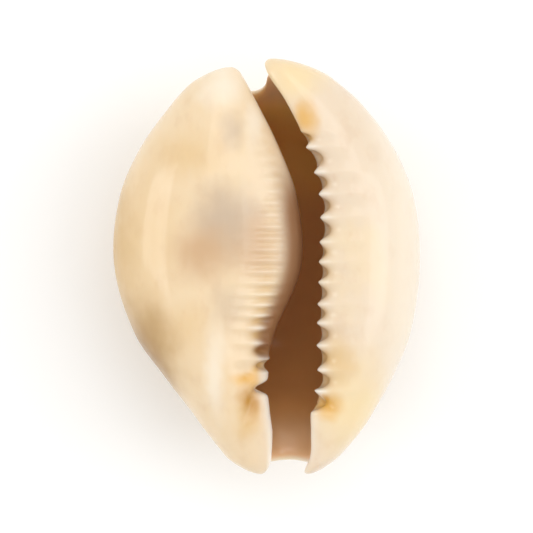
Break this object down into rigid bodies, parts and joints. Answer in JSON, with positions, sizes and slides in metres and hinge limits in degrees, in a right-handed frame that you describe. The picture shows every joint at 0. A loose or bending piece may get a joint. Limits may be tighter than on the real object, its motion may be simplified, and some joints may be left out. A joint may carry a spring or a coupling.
{
  "type": "cowrie shell",
  "caption": "Small glossy cowrie shell lying on its back, with a long toothed aperture between two lips and an open canal at each end.",
  "frame": {"origin": "centre of the shell's footprint, on the surface that its back rests on", "axes": "+Y from the anterior to the posterior end, +X towards the outer lip, +Z out of the aperture"},
  "size_m": [0.0181, 0.024, 0.0126],
  "materials": {
    "enamel": "gloss"
  },
  "bodies": {
    "root": {"shell": "enamel"}
  },
  "joints": []
}
